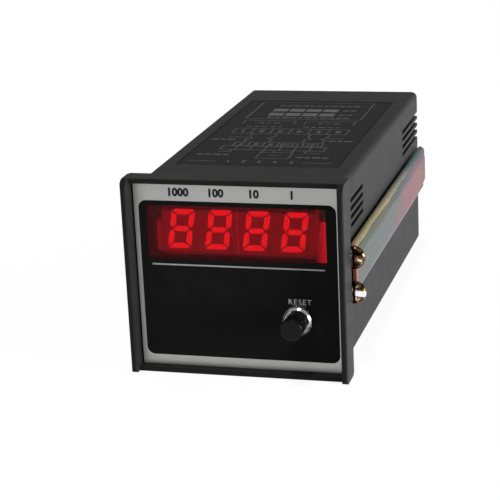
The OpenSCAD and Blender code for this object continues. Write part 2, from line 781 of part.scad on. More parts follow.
module bracket() {
  difference() {
    union() {
      intersection() {
        along_y(foot_y, bracket_back) channel_outline();
        along_x(lip_in - 1, web_out + 1) channel_side();
      }
      // Foot with the two tapped eyes
      along_y(foot_y, foot_y + foot_t) {
        for (i = [0, 1]) translate([clamp_x, clamp_z(i)]) circle(r = clamp_head_d / 2 - 0.9);
        translate([web_in, clamp_z(0)]) square([clamp_x - web_in + 0.3, clamp_pitch]);
      }
      // Hook that enters the case
      block([case_w / 2 - case_wall + 0.4, bracket_back - 39.7, -2.6],
        [web_in + 0.2, bracket_back - 38.5, 3.2]);
    }
    for (i = [0, 1]) {
      bar_y(clamp_x, clamp_z(i), clamp_r + 0.15, foot_y - 1, foot_y + foot_t + 1);
      bar_y(clamp_x, clamp_z(i), clamp_r + 0.3, foot_y + foot_t, foot_y + foot_t + clamp_tail + 0.4);
    }
  }
}

module bracket_right() {
  color([0.66, 0.58, 0.52]) bracket();
}

module bracket_left() {
  color([0.66, 0.58, 0.52]) mirror([1, 0, 0]) bracket();
}

// Clamp screws: a domed slotted head towards the panel and a threaded shank through the bracket's foot.
module clamp_screws() {
  head_h = 2.6;
  dome_h = 1.7;
  r = clamp_head_d / 2;
  dome_r = (r * r + dome_h * dome_h) / (2 * dome_h);
  shank = foot_t + 0.2 + clamp_tail;
  turns = 7;
  thread = shank / turns;
  for (i = [0, 1]) translate([clamp_x, foot_y - 0.2, clamp_z(i)]) rotate([90, 0, 0]) difference() {
    union() {
      intersection() {
        cylinder(r = r, h = head_h);
        translate([0, 0, head_h - dome_r]) sphere(r = dome_r);
      }
      translate([0, 0, -shank]) rotate_extrude() polygon(concat([[0, shank + 0.1], [0, 0]],
        [for (k = [0 : turns - 1]) each [[clamp_r - 0.2, k * thread], [clamp_r, (k + 0.5) * thread]]],
        [[clamp_r - 0.2, shank + 0.1]]));
    }
    translate([-0.45, -r - 1, head_h - 1.1]) cube([0.9, 2 * r + 2, 2]);
  }
}

module clamp_screws_right() {
  color([0.62, 0.52, 0.36]) clamp_screws();
}

module clamp_screws_left() {
  color([0.62, 0.52, 0.36]) mirror([1, 0, 0]) clamp_screws();
}

case_shell();
front_bezel();
front_plate();
red_window();
display_holder();
led_module_left();
led_module_right();
led_segments_left();
led_segments_right();
led_pins();
display_board();
board_pins();
main_board();
counter_chip();
logic_chips();
driver_transistors();
resistor_networks();
filter_capacitors();
regulator();
heat_sink();
transformer_core();
transformer_coil();
rear_board();
rear_pins();
rear_panel();
terminal_block_upper();
terminal_block_lower();
terminal_plates_upper();
terminal_plates_lower();
terminal_screws_upper();
terminal_screws_lower();
rear_screws();
top_label();
reset_switch();
reset_lugs();
reset_bush();
reset_nut();
reset_button();
reset_spring();
bracket_left();
bracket_right();
clamp_screws_left();
clamp_screws_right();
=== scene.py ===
import json
import math

import bmesh
import bpy
from mathutils import Matrix, Vector


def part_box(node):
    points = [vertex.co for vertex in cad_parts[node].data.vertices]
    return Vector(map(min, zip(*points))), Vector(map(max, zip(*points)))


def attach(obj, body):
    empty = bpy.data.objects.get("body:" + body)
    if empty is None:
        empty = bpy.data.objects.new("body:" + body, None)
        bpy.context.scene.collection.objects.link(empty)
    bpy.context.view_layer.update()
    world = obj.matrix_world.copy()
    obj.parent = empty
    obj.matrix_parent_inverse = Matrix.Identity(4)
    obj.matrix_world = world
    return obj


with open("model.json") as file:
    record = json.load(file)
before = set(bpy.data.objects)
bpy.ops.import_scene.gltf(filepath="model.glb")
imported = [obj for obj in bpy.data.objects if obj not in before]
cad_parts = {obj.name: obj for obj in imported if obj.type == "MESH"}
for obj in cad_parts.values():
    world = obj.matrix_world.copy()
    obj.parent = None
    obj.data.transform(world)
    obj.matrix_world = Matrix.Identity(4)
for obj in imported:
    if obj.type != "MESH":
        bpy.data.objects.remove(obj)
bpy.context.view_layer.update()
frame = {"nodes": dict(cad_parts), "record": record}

MM = 0.001
scene = bpy.context.scene

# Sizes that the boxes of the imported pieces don't give
BRACKET_H = 16.3 * MM
DIGIT_W = 7.7 * MM
DIGIT_SHIFT = 0.05 * MM
MODULE_GAP = 0.1 * MM
PANE_LAP = 1.0 * MM
TERMINAL_COUNT = 6
BLOCK_WALLS = 1.6 * MM
# The points beside the digits: gap to the digit, height of their middle, and how far around it stays dark
POINT_GAP = 0.35 * MM
POINT_RISE = 0.7 * MM
POINT_REACH = 0.8 * MM
# About the width of a clamp screw's head, as a share of the height of the two screws together
CLAMP_HEAD = 0.383

# Print: thickness of the ink, the black field's opening under the nut, width of the label's lines, and
# the height of the built-in font's capitals as a share of its size
FILM = 0.03 * MM
FIELD_HOLE_R = 4.2 * MM
LABEL_LINE = 0.3 * MM
CAP_SHARE = 0.69

# Floor: half its side, and its gap below the counter
FLOOR_HALF = 6.0
FLOOR_GAP = 0.05 * MM

# Sockets of the Mix node that carry colours: two inputs and the output
MIX_A, MIX_B, MIXED = 6, 7, 2


# Small helpers

def srgb(r, g, b):
    """A colour written as 0 to 255 display values, as the linear colour that a shader takes."""
    def linear(v):
        v = v / 255
        return v / 12.92 if v <= 0.04045 else ((v + 0.055) / 1.055) ** 2.4
    return (linear(r), linear(g), linear(b), 1.0)


def shade(colour, factor):
    return (colour[0] * factor, colour[1] * factor, colour[2] * factor, 1.0)


class Look:
    """A node material around one Principled shader, with short names for the nodes used here."""

    def __init__(self, name, **sockets):
        self.mat = bpy.data.materials.new(name)
        self.mat.use_nodes = True
        self.tree = self.mat.node_tree
        self.shader = self.tree.nodes["Principled BSDF"]
        for key, value in sockets.items():
            self.shader.inputs[key.replace("_", " ")].default_value = value
        self.place = self.add("ShaderNodeTexCoord").outputs["Object"]

    def add(self, kind, **settings):
        node = self.tree.nodes.new(kind)
        for key, value in settings.items():
            setattr(node, key, value)
        return node

    def feed(self, socket, value):
        """Links an output to a socket, or sets the socket to a plain value."""
        if isinstance(value, bpy.types.NodeSocket):
            self.tree.links.new(value, socket)
        else:
            socket.default_value = value

    def set(self, name, value):
        self.feed(self.shader.inputs[name], value)

    def stretched(self, stretch):
        node = self.add("ShaderNodeMapping")
        self.feed(node.inputs["Vector"], self.place)
        node.inputs["Scale"].default_value = stretch
        return node.outputs["Vector"]

    def noise(self, size, detail=3.0, stretch=None):
        """Noise whose features are about size millimetres across; stretch squeezes it along each axis."""
        node = self.add("ShaderNodeTexNoise")
        self.feed(node.inputs["Vector"], self.stretched(stretch) if stretch else self.place)
        node.inputs["Scale"].default_value = 1 / (size * MM)
        node.inputs["Detail"].default_value = detail
        return node.outputs["Fac"]

    def math(self, operation, a, b=0.0, c=0.0):
        node = self.add("ShaderNodeMath", operation=operation)
        for socket, value in zip(node.inputs, (a, b, c)):
            self.feed(socket, value)
        return node.outputs["Value"]

    def axis(self, name):
        node = self.add("ShaderNodeSeparateXYZ")
        self.feed(node.inputs["Vector"], self.place)
        return node.outputs[name]

    def between(self, value, low, high, to_low=0.0, to_high=1.0):
        node = self.add("ShaderNodeMapRange")
        keys = ("Value", "From Min", "From Max", "To Min", "To Max")
        for key, v in zip(keys, (value, low, high, to_low, to_high)):
            self.feed(node.inputs[key], v)
        return node.outputs["Result"]

    def mix(self, factor, a, b):
        node = self.add("ShaderNodeMix", data_type="RGBA")
        self.feed(node.inputs["Factor"], factor)
        self.feed(node.inputs[MIX_A], a)
        self.feed(node.inputs[MIX_B], b)
        return node.outputs[MIXED]

    def ramp(self, factor, stops):
        node = self.add("ShaderNodeValToRGB")
        self.feed(node.inputs["Fac"], factor)
        marks = node.color_ramp.elements
        while len(marks) < len(stops):
            marks.new(0.5)
        for mark, (position, colour) in zip(marks, stops):
            mark.position = position
            mark.color = colour
        return node.outputs["Color"]

    def rounded(self, radius):
        """The normal with edges rounded by radius millimetres, and a mask that is 1 along those edges."""
        bevel = self.add("ShaderNodeBevel", samples=6)
        bevel.inputs["Radius"].default_value = radius * MM
        geometry = self.add("ShaderNodeNewGeometry")
        dot = self.add("ShaderNodeVectorMath", operation="DOT_PRODUCT")
        self.feed(dot.inputs[0], bevel.outputs["Normal"])
        self.feed(dot.inputs[1], geometry.outputs["Normal"])
        # The mask rises while the bevelled normal turns away from the face by 8 to 37 degrees
        mask = self.between(dot.outputs["Value"], 0.99, 0.8)
        return bevel.outputs["Normal"], mask

    def bump(self, height, depth, normal=None):
        """Bumps of about depth millimetres."""
        node = self.add("ShaderNodeBump")
        node.inputs["Strength"].default_value = 1.0
        node.inputs["Distance"].default_value = depth * MM
        self.feed(node.inputs["Height"], height)
        if normal is not None:
            self.feed(node.inputs["Normal"], normal)
        self.set("Normal", node.outputs["Normal"])


# Materials

def moulded(name, colour, grain=0.35, depth=0.012, rough=0.6, spec=0.25, edge=0.3, wear=0.5, mottle=0.12):
    """Moulded plastic: fine spark-eroded grain, slow shade drift, and edges rubbed a little paler."""
    look = Look(name, Specular_IOR_Level=spec)
    drift = look.noise(22, 4)
    fine = look.noise(grain, 2)
    base = look.mix(drift, shade(colour, 1 - mottle), shade(colour, 1 + mottle))
    base = look.mix(look.between(fine, 0.35, 0.7, 0, 0.35), base, shade(colour, 0.72))
    normal, rim = look.rounded(edge)
    rub = look.math("MULTIPLY", rim, look.between(look.noise(3, 4), 0.3, 0.75, 0.15, wear))
    look.set("Base Color", look.mix(rub, base, shade(colour, 2.0)))
    look.set("Roughness", look.between(look.noise(6, 5), 0.3, 0.7, rough - 0.03, rough + 0.03))
    look.bump(fine, depth, normal)
    return look.mat


def metal(name, colour, rough=0.25, streak=(1, 1, 1), fine=0.12, variation=0.2, edge=0.15, depth=0.004):
    """Bare or plated metal: fine scratches along one direction, and cloudy gloss."""
    look = Look(name, Metallic=1.0)
    cloud = look.noise(4, 5)
    lines = look.noise(fine, 3, streak)
    look.set("Base Color", look.mix(cloud, shade(colour, 1 - variation), shade(colour, 1 + variation * 0.5)))
    look.set("Roughness", look.between(look.math("ADD", cloud, lines), 0.7, 1.3, rough * 0.7, rough * 1.35))
    normal, _ = look.rounded(edge)
    look.bump(lines, depth, normal)
    return look.mat


def silver_paint():
    """The front plate: satin silver lacquer on sheet metal, with a very fine brushing from side to side."""
    look = Look("silver_plate_look", Metallic=0.7, Specular_IOR_Level=0.3)
    colour = srgb(196, 196, 194)
    lines = look.noise(0.16, 3, (0.05, 1, 1))
    cloud = look.noise(14, 4)
    base = look.mix(cloud, shade(colour, 0.88), shade(colour, 1.05))
    base = look.mix(look.between(lines, 0.3, 0.7, 0, 0.4), base, shade(colour, 0.8))
    # The black paint of the field runs over the walls of the window opening
    across = look.math("LESS_THAN", look.math("ABSOLUTE", look.axis("X")), window_w / 2 + 0.05 * MM)
    offset = look.math("ABSOLUTE", look.math("SUBTRACT", look.axis("Z"), window_z))
    inside = look.math("MULTIPLY", across, look.math("LESS_THAN", offset, window_h / 2 + 0.05 * MM))
    look.set("Base Color", look.mix(inside, base, srgb(30, 30, 30)))
    look.set("Roughness", look.between(lines, 0.3, 0.7, 0.36, 0.5))
    normal, _ = look.rounded(0.12)
    look.bump(lines, 0.006, normal)
    return look.mat


def ink(name, colour, rough=0.6, spec=0.15, grain=0.25):
    """Screen-printed ink: slightly uneven cover and a fine mesh texture."""
    look = Look(name, Specular_IOR_Level=spec)
    cover = look.noise(2.5, 5)
    mesh = look.noise(grain, 2)
    look.set("Base Color", look.mix(cover, shade(colour, 0.82), shade(colour, 1.12)))
    look.set("Roughness", look.between(mesh, 0.3, 0.7, rough - 0.06, rough + 0.06))
    look.bump(mesh, 0.004)
    return look.mat


def red_filter():
    """The display window: a red see-through sheet with faint haze."""
    look = Look("red_filter_look", Alpha=0.34, Specular_IOR_Level=0.2)
    haze = look.noise(9, 4)
    look.set("Base Color", look.mix(haze, srgb(120, 14, 24), srgb(140, 18, 30)))
    look.set("Roughness", look.between(look.noise(1.2, 4), 0.3, 0.7, 0.1, 0.18))
    look.bump(look.noise(2.0, 3), 0.002)
    return look.mat


def lit_segments(first_point, pitch, point_z):
    """Lit digit bars. The round points beside the digits stay dark."""
    look = Look("segment_red_look", Roughness=0.4, Specular_IOR_Level=0.05)
    # How far away the nearest point is: the points repeat along X with the digits
    along = look.math("SUBTRACT", look.axis("X"), first_point - pitch / 2)
    dx = look.math("SUBTRACT", look.math("WRAP", along, pitch, 0.0), pitch / 2)
    dz = look.math("SUBTRACT", look.axis("Z"), point_z)
    away = look.math("SQRT", look.math("ADD", look.math("MULTIPLY", dx, dx), look.math("MULTIPLY", dz, dz)))
    lit = look.math("GREATER_THAN", away, POINT_REACH)
    glow = look.noise(1.1, 3)
    colour = look.mix(glow, (1.0, 0.003, 0.008, 1), (1.0, 0.008, 0.013, 1))
    look.set("Base Color", look.mix(lit, srgb(84, 12, 20), srgb(150, 10, 18)))
    look.set("Emission Color", look.mix(lit, (0.04, 0.001, 0.001, 1), colour))
    look.shader.inputs["Emission Strength"].default_value = 1.5
    look.bump(glow, 0.01)
    return look.mat


def module_face():
    """Dark red diffuser plastic of the digit modules, with a painted glow for the light on its face."""
    look = Look("module_plastic_look", Specular_IOR_Level=0.05, Roughness=0.5)
    drift = look.noise(8, 4)
    fine = look.noise(0.3, 2)
    look.set("Base Color", look.mix(drift, srgb(84, 7, 14), srgb(96, 9, 16)))
    # The plate's edge keeps light off the top and bottom of the face
    height = look.axis("Z")
    rim = look.math("MINIMUM", look.between(height, module_high.z - 2.35 * MM, module_high.z - 2.6 * MM),
                    look.between(height, module_low.z, module_low.z + 1.2 * MM))
    # Painted light: the face glows in place of the light falling on it, and a little brighter at the joint
    # between the two modules
    glow = look.mix(drift, (0.3, 0.001, 0.005, 1), (0.36, 0.002, 0.006, 1))
    joint = look.between(look.math("ABSOLUTE", look.axis("X")), 0.15 * MM, 0.35 * MM)
    glow = look.mix(joint, (0.6, 0.003, 0.011, 1), glow)
    look.set("Emission Color", look.mix(rim, (0.06, 0.001, 0.002, 1), glow))
    look.shader.inputs["Emission Strength"].default_value = 0.9
    look.bump(fine, 0.01)
    return look.mat


def holder_plastic():
    """Dark red blocks beside the modules, with a painted glow for the digits' light on them."""
    look = Look("holder_plastic_look", Specular_IOR_Level=0.05, Roughness=0.5)
    drift = look.between(look.noise(6, 4), 0.3, 0.7, 0.85, 1.1)
    look.set("Base Color", look.mix(drift, srgb(68, 9, 14), srgb(80, 12, 17)))
    right = look.between(look.axis("X"), module_reach + 0.2 * MM, module_reach + 3.2 * MM, 0.4, 1.3)
    left = look.between(look.axis("X"), -module_reach - 0.75 * MM, -module_reach - 1.05 * MM, -0.24, 0.08)
    lit = look.math("MULTIPLY", look.math("ADD", right, left), drift)
    # The left block is lit up to a lower line than the right one
    lower = look.between(look.axis("X"), 0.0, -1.0 * MM, 0.0, 0.8 * MM)
    height = look.math("ADD", look.axis("Z"), lower)
    fade = look.between(height, module_high.z - 5.0 * MM, module_high.z - 5.5 * MM, 0.12, 1.0)
    lit = look.math("MULTIPLY", lit, fade)
    look.set("Emission Color", look.mix(lit, (0.0, 0.0, 0.0, 1), (0.85, 0.006, 0.02, 1)))
    look.shader.inputs["Emission Strength"].default_value = 1.0
    look.bump(look.noise(0.4, 2), 0.01)
    return look.mat


def bracket_zinc():
    """Coloured chromate film on zinc. The tint drifts along the strip and changes at the bends."""
    look = Look("bracket_zinc_look", Metallic=0.5, Specular_IOR_Level=0.1, Specular_Tint=(0.5, 0.5, 0.5, 1))
    cloud = look.math("SUBTRACT", look.noise(14, 2, (1, 0.4, 1)), 0.5)
    along = look.math("ADD", look.between(look.axis("Y"), 0.0, 140 * MM), look.math("MULTIPLY", cloud, 0.6))
    wave = look.math("MULTIPLY", look.math("SUBTRACT", look.noise(5, 3, (1, 0.3, 1)), 0.5), 1.6 * MM)
    height = look.math("ADD", look.axis("Z"), wave)
    web = look.ramp(along, [
        (0.05, srgb(114, 117, 110)), (0.3, srgb(103, 117, 117)), (0.5, srgb(118, 112, 114)),
        (0.64, srgb(154, 96, 108)), (0.8, srgb(158, 108, 104)), (0.95, srgb(136, 90, 104))])
    bend = look.ramp(along, [
        (0.05, srgb(68, 90, 74)), (0.3, srgb(82, 84, 52)), (0.5, srgb(54, 82, 80)),
        (0.68, srgb(78, 80, 96)), (0.82, srgb(122, 70, 104)), (1.0, srgb(64, 86, 88))])
    lip = look.ramp(along, [
        (0.1, srgb(190, 174, 130)), (0.4, srgb(182, 170, 142)), (0.65, srgb(154, 152, 144)),
        (0.85, srgb(104, 126, 126))])
    # Distance over the upper bend, from the lip down to the web
    reach = look.math("SUBTRACT", look.math("ABSOLUTE", look.axis("X")), bracket_high.x - 2.0 * MM)
    over = look.math("ADD", reach, look.math("SUBTRACT", bracket_high.z, height))
    base = look.mix(look.between(over, 5.0 * MM, 3.6 * MM), web, bend)
    base = look.mix(look.between(over, 1.0 * MM, 0.5 * MM), base, lip)
    foot = bracket_high.z - BRACKET_H
    base = look.mix(look.between(height, foot + 2.4 * MM, foot + 1.6 * MM), base, srgb(142, 138, 148))
    base = look.mix(look.between(look.axis("Y"), 8.0 * MM, 7.6 * MM), base, srgb(186, 122, 100))
    stains = look.between(look.noise(2.4, 5), 0.7, 0.86, 0, 0.3)
    look.set("Base Color", look.mix(stains, base, srgb(92, 88, 66)))
    scratch = look.noise(0.2, 3, (1, 0.06, 1))
    look.set("Roughness", look.between(scratch, 0.3, 0.7, 0.24, 0.34))
    normal, _ = look.rounded(0.25)
    look.bump(scratch, 0.0015, normal)
    return look.mat


def clamp_zinc():
    """Yellow-chromated screws: dark brown, gold and pink patches, with near-white flecks that are painted
    highlights.
    """
    look = Look("clamp_zinc_look", Metallic=0.9, Specular_IOR_Level=0.1, Specular_Tint=(0.5, 0.5, 0.5, 1))
    patches = look.noise(1.9, 3)
    # The last, near-white stop of the ramp gives flecks of painted highlight
    tint = look.ramp(patches, [
        (0.38, srgb(16, 11, 6)), (0.46, srgb(78, 64, 28)), (0.5, srgb(20, 15, 9)), (0.56, srgb(150, 112, 88)),
        (0.6, srgb(34, 28, 14)), (0.66, srgb(240, 226, 204))])
    # A painted reflection: a bright stripe across the lower screw's head, on the side away from the case
    head = CLAMP_HEAD * (clamp_high.z - clamp_low.z)
    middle_x = (clamp_low.x + clamp_high.x) / 2
    outward = look.math("SUBTRACT", look.math("ABSOLUTE", look.axis("X")), middle_x)
    slope = look.math("ADD", look.axis("Z"), look.math("MULTIPLY", outward, 0.3))
    offset = look.math("ABSOLUTE", look.math("SUBTRACT", slope, clamp_low.z + 0.6 * head))
    painted_reflection_band = look.math("MULTIPLY", look.between(offset, 0.15 * head, 0.11 * head),
                     look.between(outward, 0.02 * head, 0.08 * head))
    look.set("Base Color", look.mix(painted_reflection_band, tint, srgb(252, 244, 246)))
    scratch = look.noise(0.2, 3)
    look.set("Roughness", look.between(scratch, 0.3, 0.7, 0.08, 0.16))
    normal, _ = look.rounded(0.25)
    look.bump(scratch, 0.003, normal)
    return look.mat


def circuit_board():
    """Green board with tracks under the lacquer."""
    look = Look("circuit_board_look", Specular_IOR_Level=0.5, Roughness=0.35)
    brick = look.add("ShaderNodeTexBrick", offset=0.37, squash=0.6, squash_frequency=3)
    look.feed(brick.inputs["Vector"], look.stretched((1, 0.35, 0.6)))
    brick.inputs["Scale"].default_value = 240.0
    brick.inputs["Mortar Size"].default_value = 0.06
    brick.inputs["Color1"].default_value = srgb(30, 86, 48)
    brick.inputs["Color2"].default_value = srgb(34, 94, 54)
    brick.inputs["Mortar"].default_value = srgb(60, 128, 72)
    cloud = look.between(look.noise(5, 4), 0.4, 0.7, 0, 0.5)
    look.set("Base Color", look.mix(cloud, brick.outputs["Color"], srgb(26, 76, 42)))
    look.bump(brick.outputs["Fac"], 0.02)
    return look.mat


def laminated():
    """Varnished transformer sheets, edge on."""
    look = Look("core_steel_look", Metallic=0.7)
    sheets = look.noise(0.5, 2, (0.02, 1, 0.02))
    look.set("Base Color", look.mix(sheets, srgb(70, 66, 62), srgb(110, 106, 100)))
    look.set("Roughness", look.between(sheets, 0.3, 0.7, 0.35, 0.6))
    look.bump(sheets, 0.06)
    return look.mat


def tape():
    """Yellow wrapping over the transformer's winding."""
    look = Look("coil_tape_look", Specular_IOR_Level=0.5)
    wraps = look.noise(1.6, 2, (0.05, 0.05, 1))
    look.set("Base Color", look.mix(wraps, srgb(196, 160, 66), srgb(224, 190, 96)))
    look.set("Roughness", look.between(look.noise(3, 3), 0.3, 0.7, 0.25, 0.45))
    look.bump(wraps, 0.08)
    return look.mat


def label_film():
    """The label in the top: dark satin film with a fine surface, and a black edge band that is painted shade
    for the gap around it.
    """
    look = Look("label_film_look", Specular_IOR_Level=0.05)
    drift = look.noise(18, 4)
    fine = look.noise(0.25, 2)
    colour = srgb(51, 51, 52)
    middle = (label_low + label_high) / 2
    half = (label_high - label_low) / 2
    across = look.math("ABSOLUTE", look.math("SUBTRACT", look.axis("X"), middle.x))
    along = look.math("ABSOLUTE", look.math("SUBTRACT", look.axis("Y"), middle.y))
    # Painted shade: a black band along the film's edges stands in for the shadowed gap around the label
    painted_gap_shade = look.math("MAXIMUM", look.between(across, half.x - 0.45 * MM, half.x - 0.35 * MM),
                       look.between(along, half.y - 0.9 * MM, half.y - 0.8 * MM))
    field = look.mix(drift, shade(colour, 0.88), shade(colour, 1.08))
    look.set("Base Color", look.mix(painted_gap_shade, field, srgb(18, 18, 19)))
    look.set("Roughness", look.between(fine, 0.3, 0.7, 0.55, 0.68))
    look.bump(fine, 0.006)
    return look.mat


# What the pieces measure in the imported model
plate_low, plate_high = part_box("front_plate")
window_low, window_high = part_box("red_window")
digits_low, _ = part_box("led_segments_left")
module_low, module_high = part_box("led_module_left")
label_low, label_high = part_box("top_label")
nut_low, nut_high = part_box("reset_nut")
_, panel_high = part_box("rear_panel")
block_low, block_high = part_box("terminal_block_upper")
case_low, case_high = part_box("case_shell")
bezel_low, bezel_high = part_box("front_bezel")
_, bracket_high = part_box("bracket_right")
clamp_low, clamp_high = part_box("clamp_screws_right")

# The opening in the plate, which the pane laps on every side
window_w = window_high.x - window_low.x - 2 * PANE_LAP
window_h = window_high.z - window_low.z - 2 * PANE_LAP
window_z = (window_high.z + window_low.z) / 2
digit_pitch = (module_high.x - module_low.x + MODULE_GAP) / 2
module_reach = max(abs(module_low.x), abs(module_high.x))
first_digit = -1.5 * digit_pitch + DIGIT_SHIFT
point_x = first_digit + DIGIT_W / 2 + POINT_GAP
point_z = digits_low.z + POINT_RISE

looks = {
    "case_plastic": moulded("case_plastic_look", srgb(58, 58, 59), grain=0.4, depth=0.02, rough=0.5,
                            spec=0.05, edge=0.35, mottle=0.05),
    "bezel_plastic": moulded("bezel_plastic_look", srgb(52, 52, 53), grain=0.3, depth=0.01, rough=0.45,
                             spec=0.05, mottle=0.05),
    "silver_plate": silver_paint(),
    "red_filter": red_filter(),
    "holder_plastic": holder_plastic(),
    "module_plastic": module_face(),
    "segment_red": lit_segments(point_x, digit_pitch, point_z),
    "tinned_pins": metal("tinned_pins_look", srgb(190, 190, 184), 0.35),
    "circuit_board": circuit_board(),
    "brass_pins": metal("brass_pins_look", srgb(200, 168, 92), 0.3),
    "chip_plastic": moulded("chip_plastic_look", srgb(38, 38, 40), grain=0.15, rough=0.55, edge=0.1),
    "network_coat": moulded("network_coat_look", srgb(168, 62, 44), grain=0.5, rough=0.4, spec=0.5, edge=0.3),
    "capacitor_sleeve": moulded("capacitor_sleeve_look", srgb(36, 42, 84), grain=0.8, rough=0.35, spec=0.5,
                                edge=0.2),
    "sink_metal": metal("sink_metal_look", srgb(64, 64, 67), 0.45, (1, 1, 0.05)),
    "core_steel": laminated(),
    "coil_tape": tape(),
    "block_plastic": moulded("block_plastic_look", srgb(46, 46, 48), grain=0.3, rough=0.45, spec=0.35,
                             edge=0.2),
    "terminal_brass": metal("terminal_brass_look", srgb(206, 174, 96), 0.3),
    "screw_nickel": metal("screw_nickel_look", srgb(196, 194, 188), 0.24),
    "screw_black": metal("screw_black_look", srgb(84, 84, 86), 0.4),
    "label_film": label_film(),
    "nut_chrome": metal("nut_chrome_look", srgb(214, 214, 216), 0.16, edge=0.12),
    "button_plastic": moulded("button_plastic_look", srgb(17, 17, 18), grain=0.5, depth=0.004, rough=0.18,
                              spec=0.14, edge=0.6, wear=0.2),
    "bracket_zinc": bracket_zinc(),
    "clamp_zinc": clamp_zinc(),
}
for row in frame["record"]["subparts"]:
    node = frame["nodes"][row["node"]]
    if not node.data.materials:
        node.data.materials.append(None)
    for slot in node.material_slots:
        slot.material = looks[row["material_slot"]]


# Printed pieces

def piece(name, bm, material, body="counter"):
    mesh = bpy.data.meshes.new(name)
    bm.to_mesh(mesh)
    bm.free()
    obj = bpy.data.objects.new(name, mesh)
    scene.collection.objects.link(obj)
    mesh.materials.append(material)
    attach(obj, body)


def outline(w, h, r, cx=0.0, cz=0.0, steps=8):
    """Corner-rounded rectangle as a list of points."""
    points = []
    for k, (sx, sz) in enumerate(((1, 1), (-1, 1), (-1, -1), (1, -1))):
        for i in range(steps + 1):
            a = math.pi / 2 * (k + i / steps)
            points.append((cx + sx * (w / 2 - r) + r * math.cos(a), cz + sz * (h / 2 - r) + r * math.sin(a)))
    return points


def circle(r, cx, cz, steps=48):
    turns = [2 * math.pi * i / steps for i in range(steps)]
    return [(cx + r * math.cos(a), cz + r * math.sin(a)) for a in turns]


def sheet_with_holes(bm, loops, thickness, place):
    """Fills the first loop, leaves the others open, and gives the sheet its thickness along the local Z."""
    edges = []
    for loop in loops:
        verts = [bm.verts.new((x, y, 0)) for x, y in loop]
        edges += [bm.edges.new((verts[i - 1], verts[i])) for i in range(len(verts))]
    made = bmesh.ops.triangle_fill(bm, edges=edges, use_beauty=True, use_dissolve=False)
    faces = [g for g in made["geom"] if isinstance(g, bmesh.types.BMFace)]
    lifted = bmesh.ops.extrude_face_region(bm, geom=faces)
    moved = [g for g in lifted["geom"] if isinstance(g, bmesh.types.BMVert)]
    bmesh.ops.translate(bm, vec=(0, 0, thickness), verts=moved)
    bmesh.ops.transform(bm, matrix=place, verts=bm.verts)
    bmesh.ops.recalc_face_normals(bm, faces=bm.faces)


def bar(bm, a, b, width, thickness, place):
    """A flat printed line from a to b on a plane, with its ends squared off."""
    a, b = Vector(a), Vector(b)
    along = (b - a).normalized()
    side = Vector((-along.y, along.x)) * width / 2
    ends = (a - along * width / 2, b + along * width / 2)
    corners = [ends[0] - side, ends[1] - side, ends[1] + side, ends[0] + side]
    rings = [[bm.verts.new(place @ Vector((p.x, p.y, z))) for p in corners] for z in (0, thickness)]
    bm.faces.new(rings[0][::-1])
    bm.faces.new(rings[1])
    for i in range(4):
        bm.faces.new((rings[0][i - 1], rings[0][i], rings[1][i], rings[1][i - 1]))


def word(bm, text, cap_height, thickness, place, bold=0.0, spacing=1.0):
    """Plain lettering as a mesh, centred on the place."""
    curve = bpy.data.curves.new("lettering", "FONT")
    curve.body = text
    curve.align_x = "CENTER"
    curve.align_y = "CENTER"
    curve.size = cap_height / CAP_SHARE
    curve.offset = bold
    curve.space_character = spacing
    curve.extrude = thickness / 2
    curve.resolution_u = 3
    holder = bpy.data.objects.new("lettering", curve)
    scene.collection.objects.link(holder)
    bpy.context.view_layer.update()
    mesh = bpy.data.meshes.new_from_object(holder.evaluated_get(bpy.context.evaluated_depsgraph_get()))
    mesh.transform(place @ Matrix.Translation((0, 0, thickness / 2)))
    bm.from_mesh(mesh)
    bpy.data.meshes.remove(mesh)
    bpy.data.objects.remove(holder)
    bpy.data.curves.remove(curve)


# Planes that the print lies on: local X and Y run along the text, local Z points away from the surface.
upright = Matrix.Rotation(math.pi / 2, 4, "X")
half_turn = Matrix.Rotation(math.pi, 4, "Z")
front = Matrix.Translation((0, plate_low.y, 0)) @ upright
top = Matrix.Translation((0, 0, label_high.z))
rear = Matrix.Translation((0, panel_high.y, 0)) @ half_turn @ upright

black_ink = ink("black_field_look", srgb(36, 36, 36), rough=0.62, spec=0.05)
pale_ink = ink("pale_ink_look", srgb(236, 236, 234), rough=0.55, spec=0.3)
line_ink = ink("line_ink_look", srgb(236, 236, 234), rough=0.5, spec=0.3)
mark_ink = ink("mark_ink_look", srgb(24, 24, 25), rough=0.55, spec=0.2)
label_ink = ink("label_ink_look", srgb(134, 134, 133), rough=0.6, spec=0.2)

# Black field of the front plate, open at the window and under the nut
axis_x = (nut_low.x + nut_high.x) / 2
axis_z = (nut_low.z + nut_high.z) / 2
left, right, bottom, field_top = -31.9 * MM, 32.6 * MM, -27.4 * MM, 24.8 * MM
corner = 2.6 * MM
overhang = 0.4 * MM
bm = bmesh.new()
sheet_with_holes(bm, [
    outline(right - left, field_top - bottom, corner, (left + right) / 2, (bottom + field_top) / 2),
    outline(window_w - overhang, window_h - overhang, 0.2 * MM, cz=window_z, steps=2),
    circle(FIELD_HOLE_R, axis_x, axis_z),
], FILM, front)
piece("front_field_print", bm, black_ink)

# Line below the window
bm = bmesh.new()
lift = front @ Matrix.Translation((0, 0, FILM))
line_z = 3.6 * MM
bar(bm, (-28.1 * MM, line_z), (28.3 * MM, line_z), 0.48 * MM, FILM, lift)
piece("front_line_print", bm, line_ink)

# Word over the button
bm = bmesh.new()
spot = Matrix.Translation((axis_x, axis_z + 4.95 * MM, 0))
word(bm, "RESET", 1.7 * MM, FILM, lift @ spot, bold=0.035 * MM, spacing=1.22)
piece("reset_word_print", bm, pale_ink)

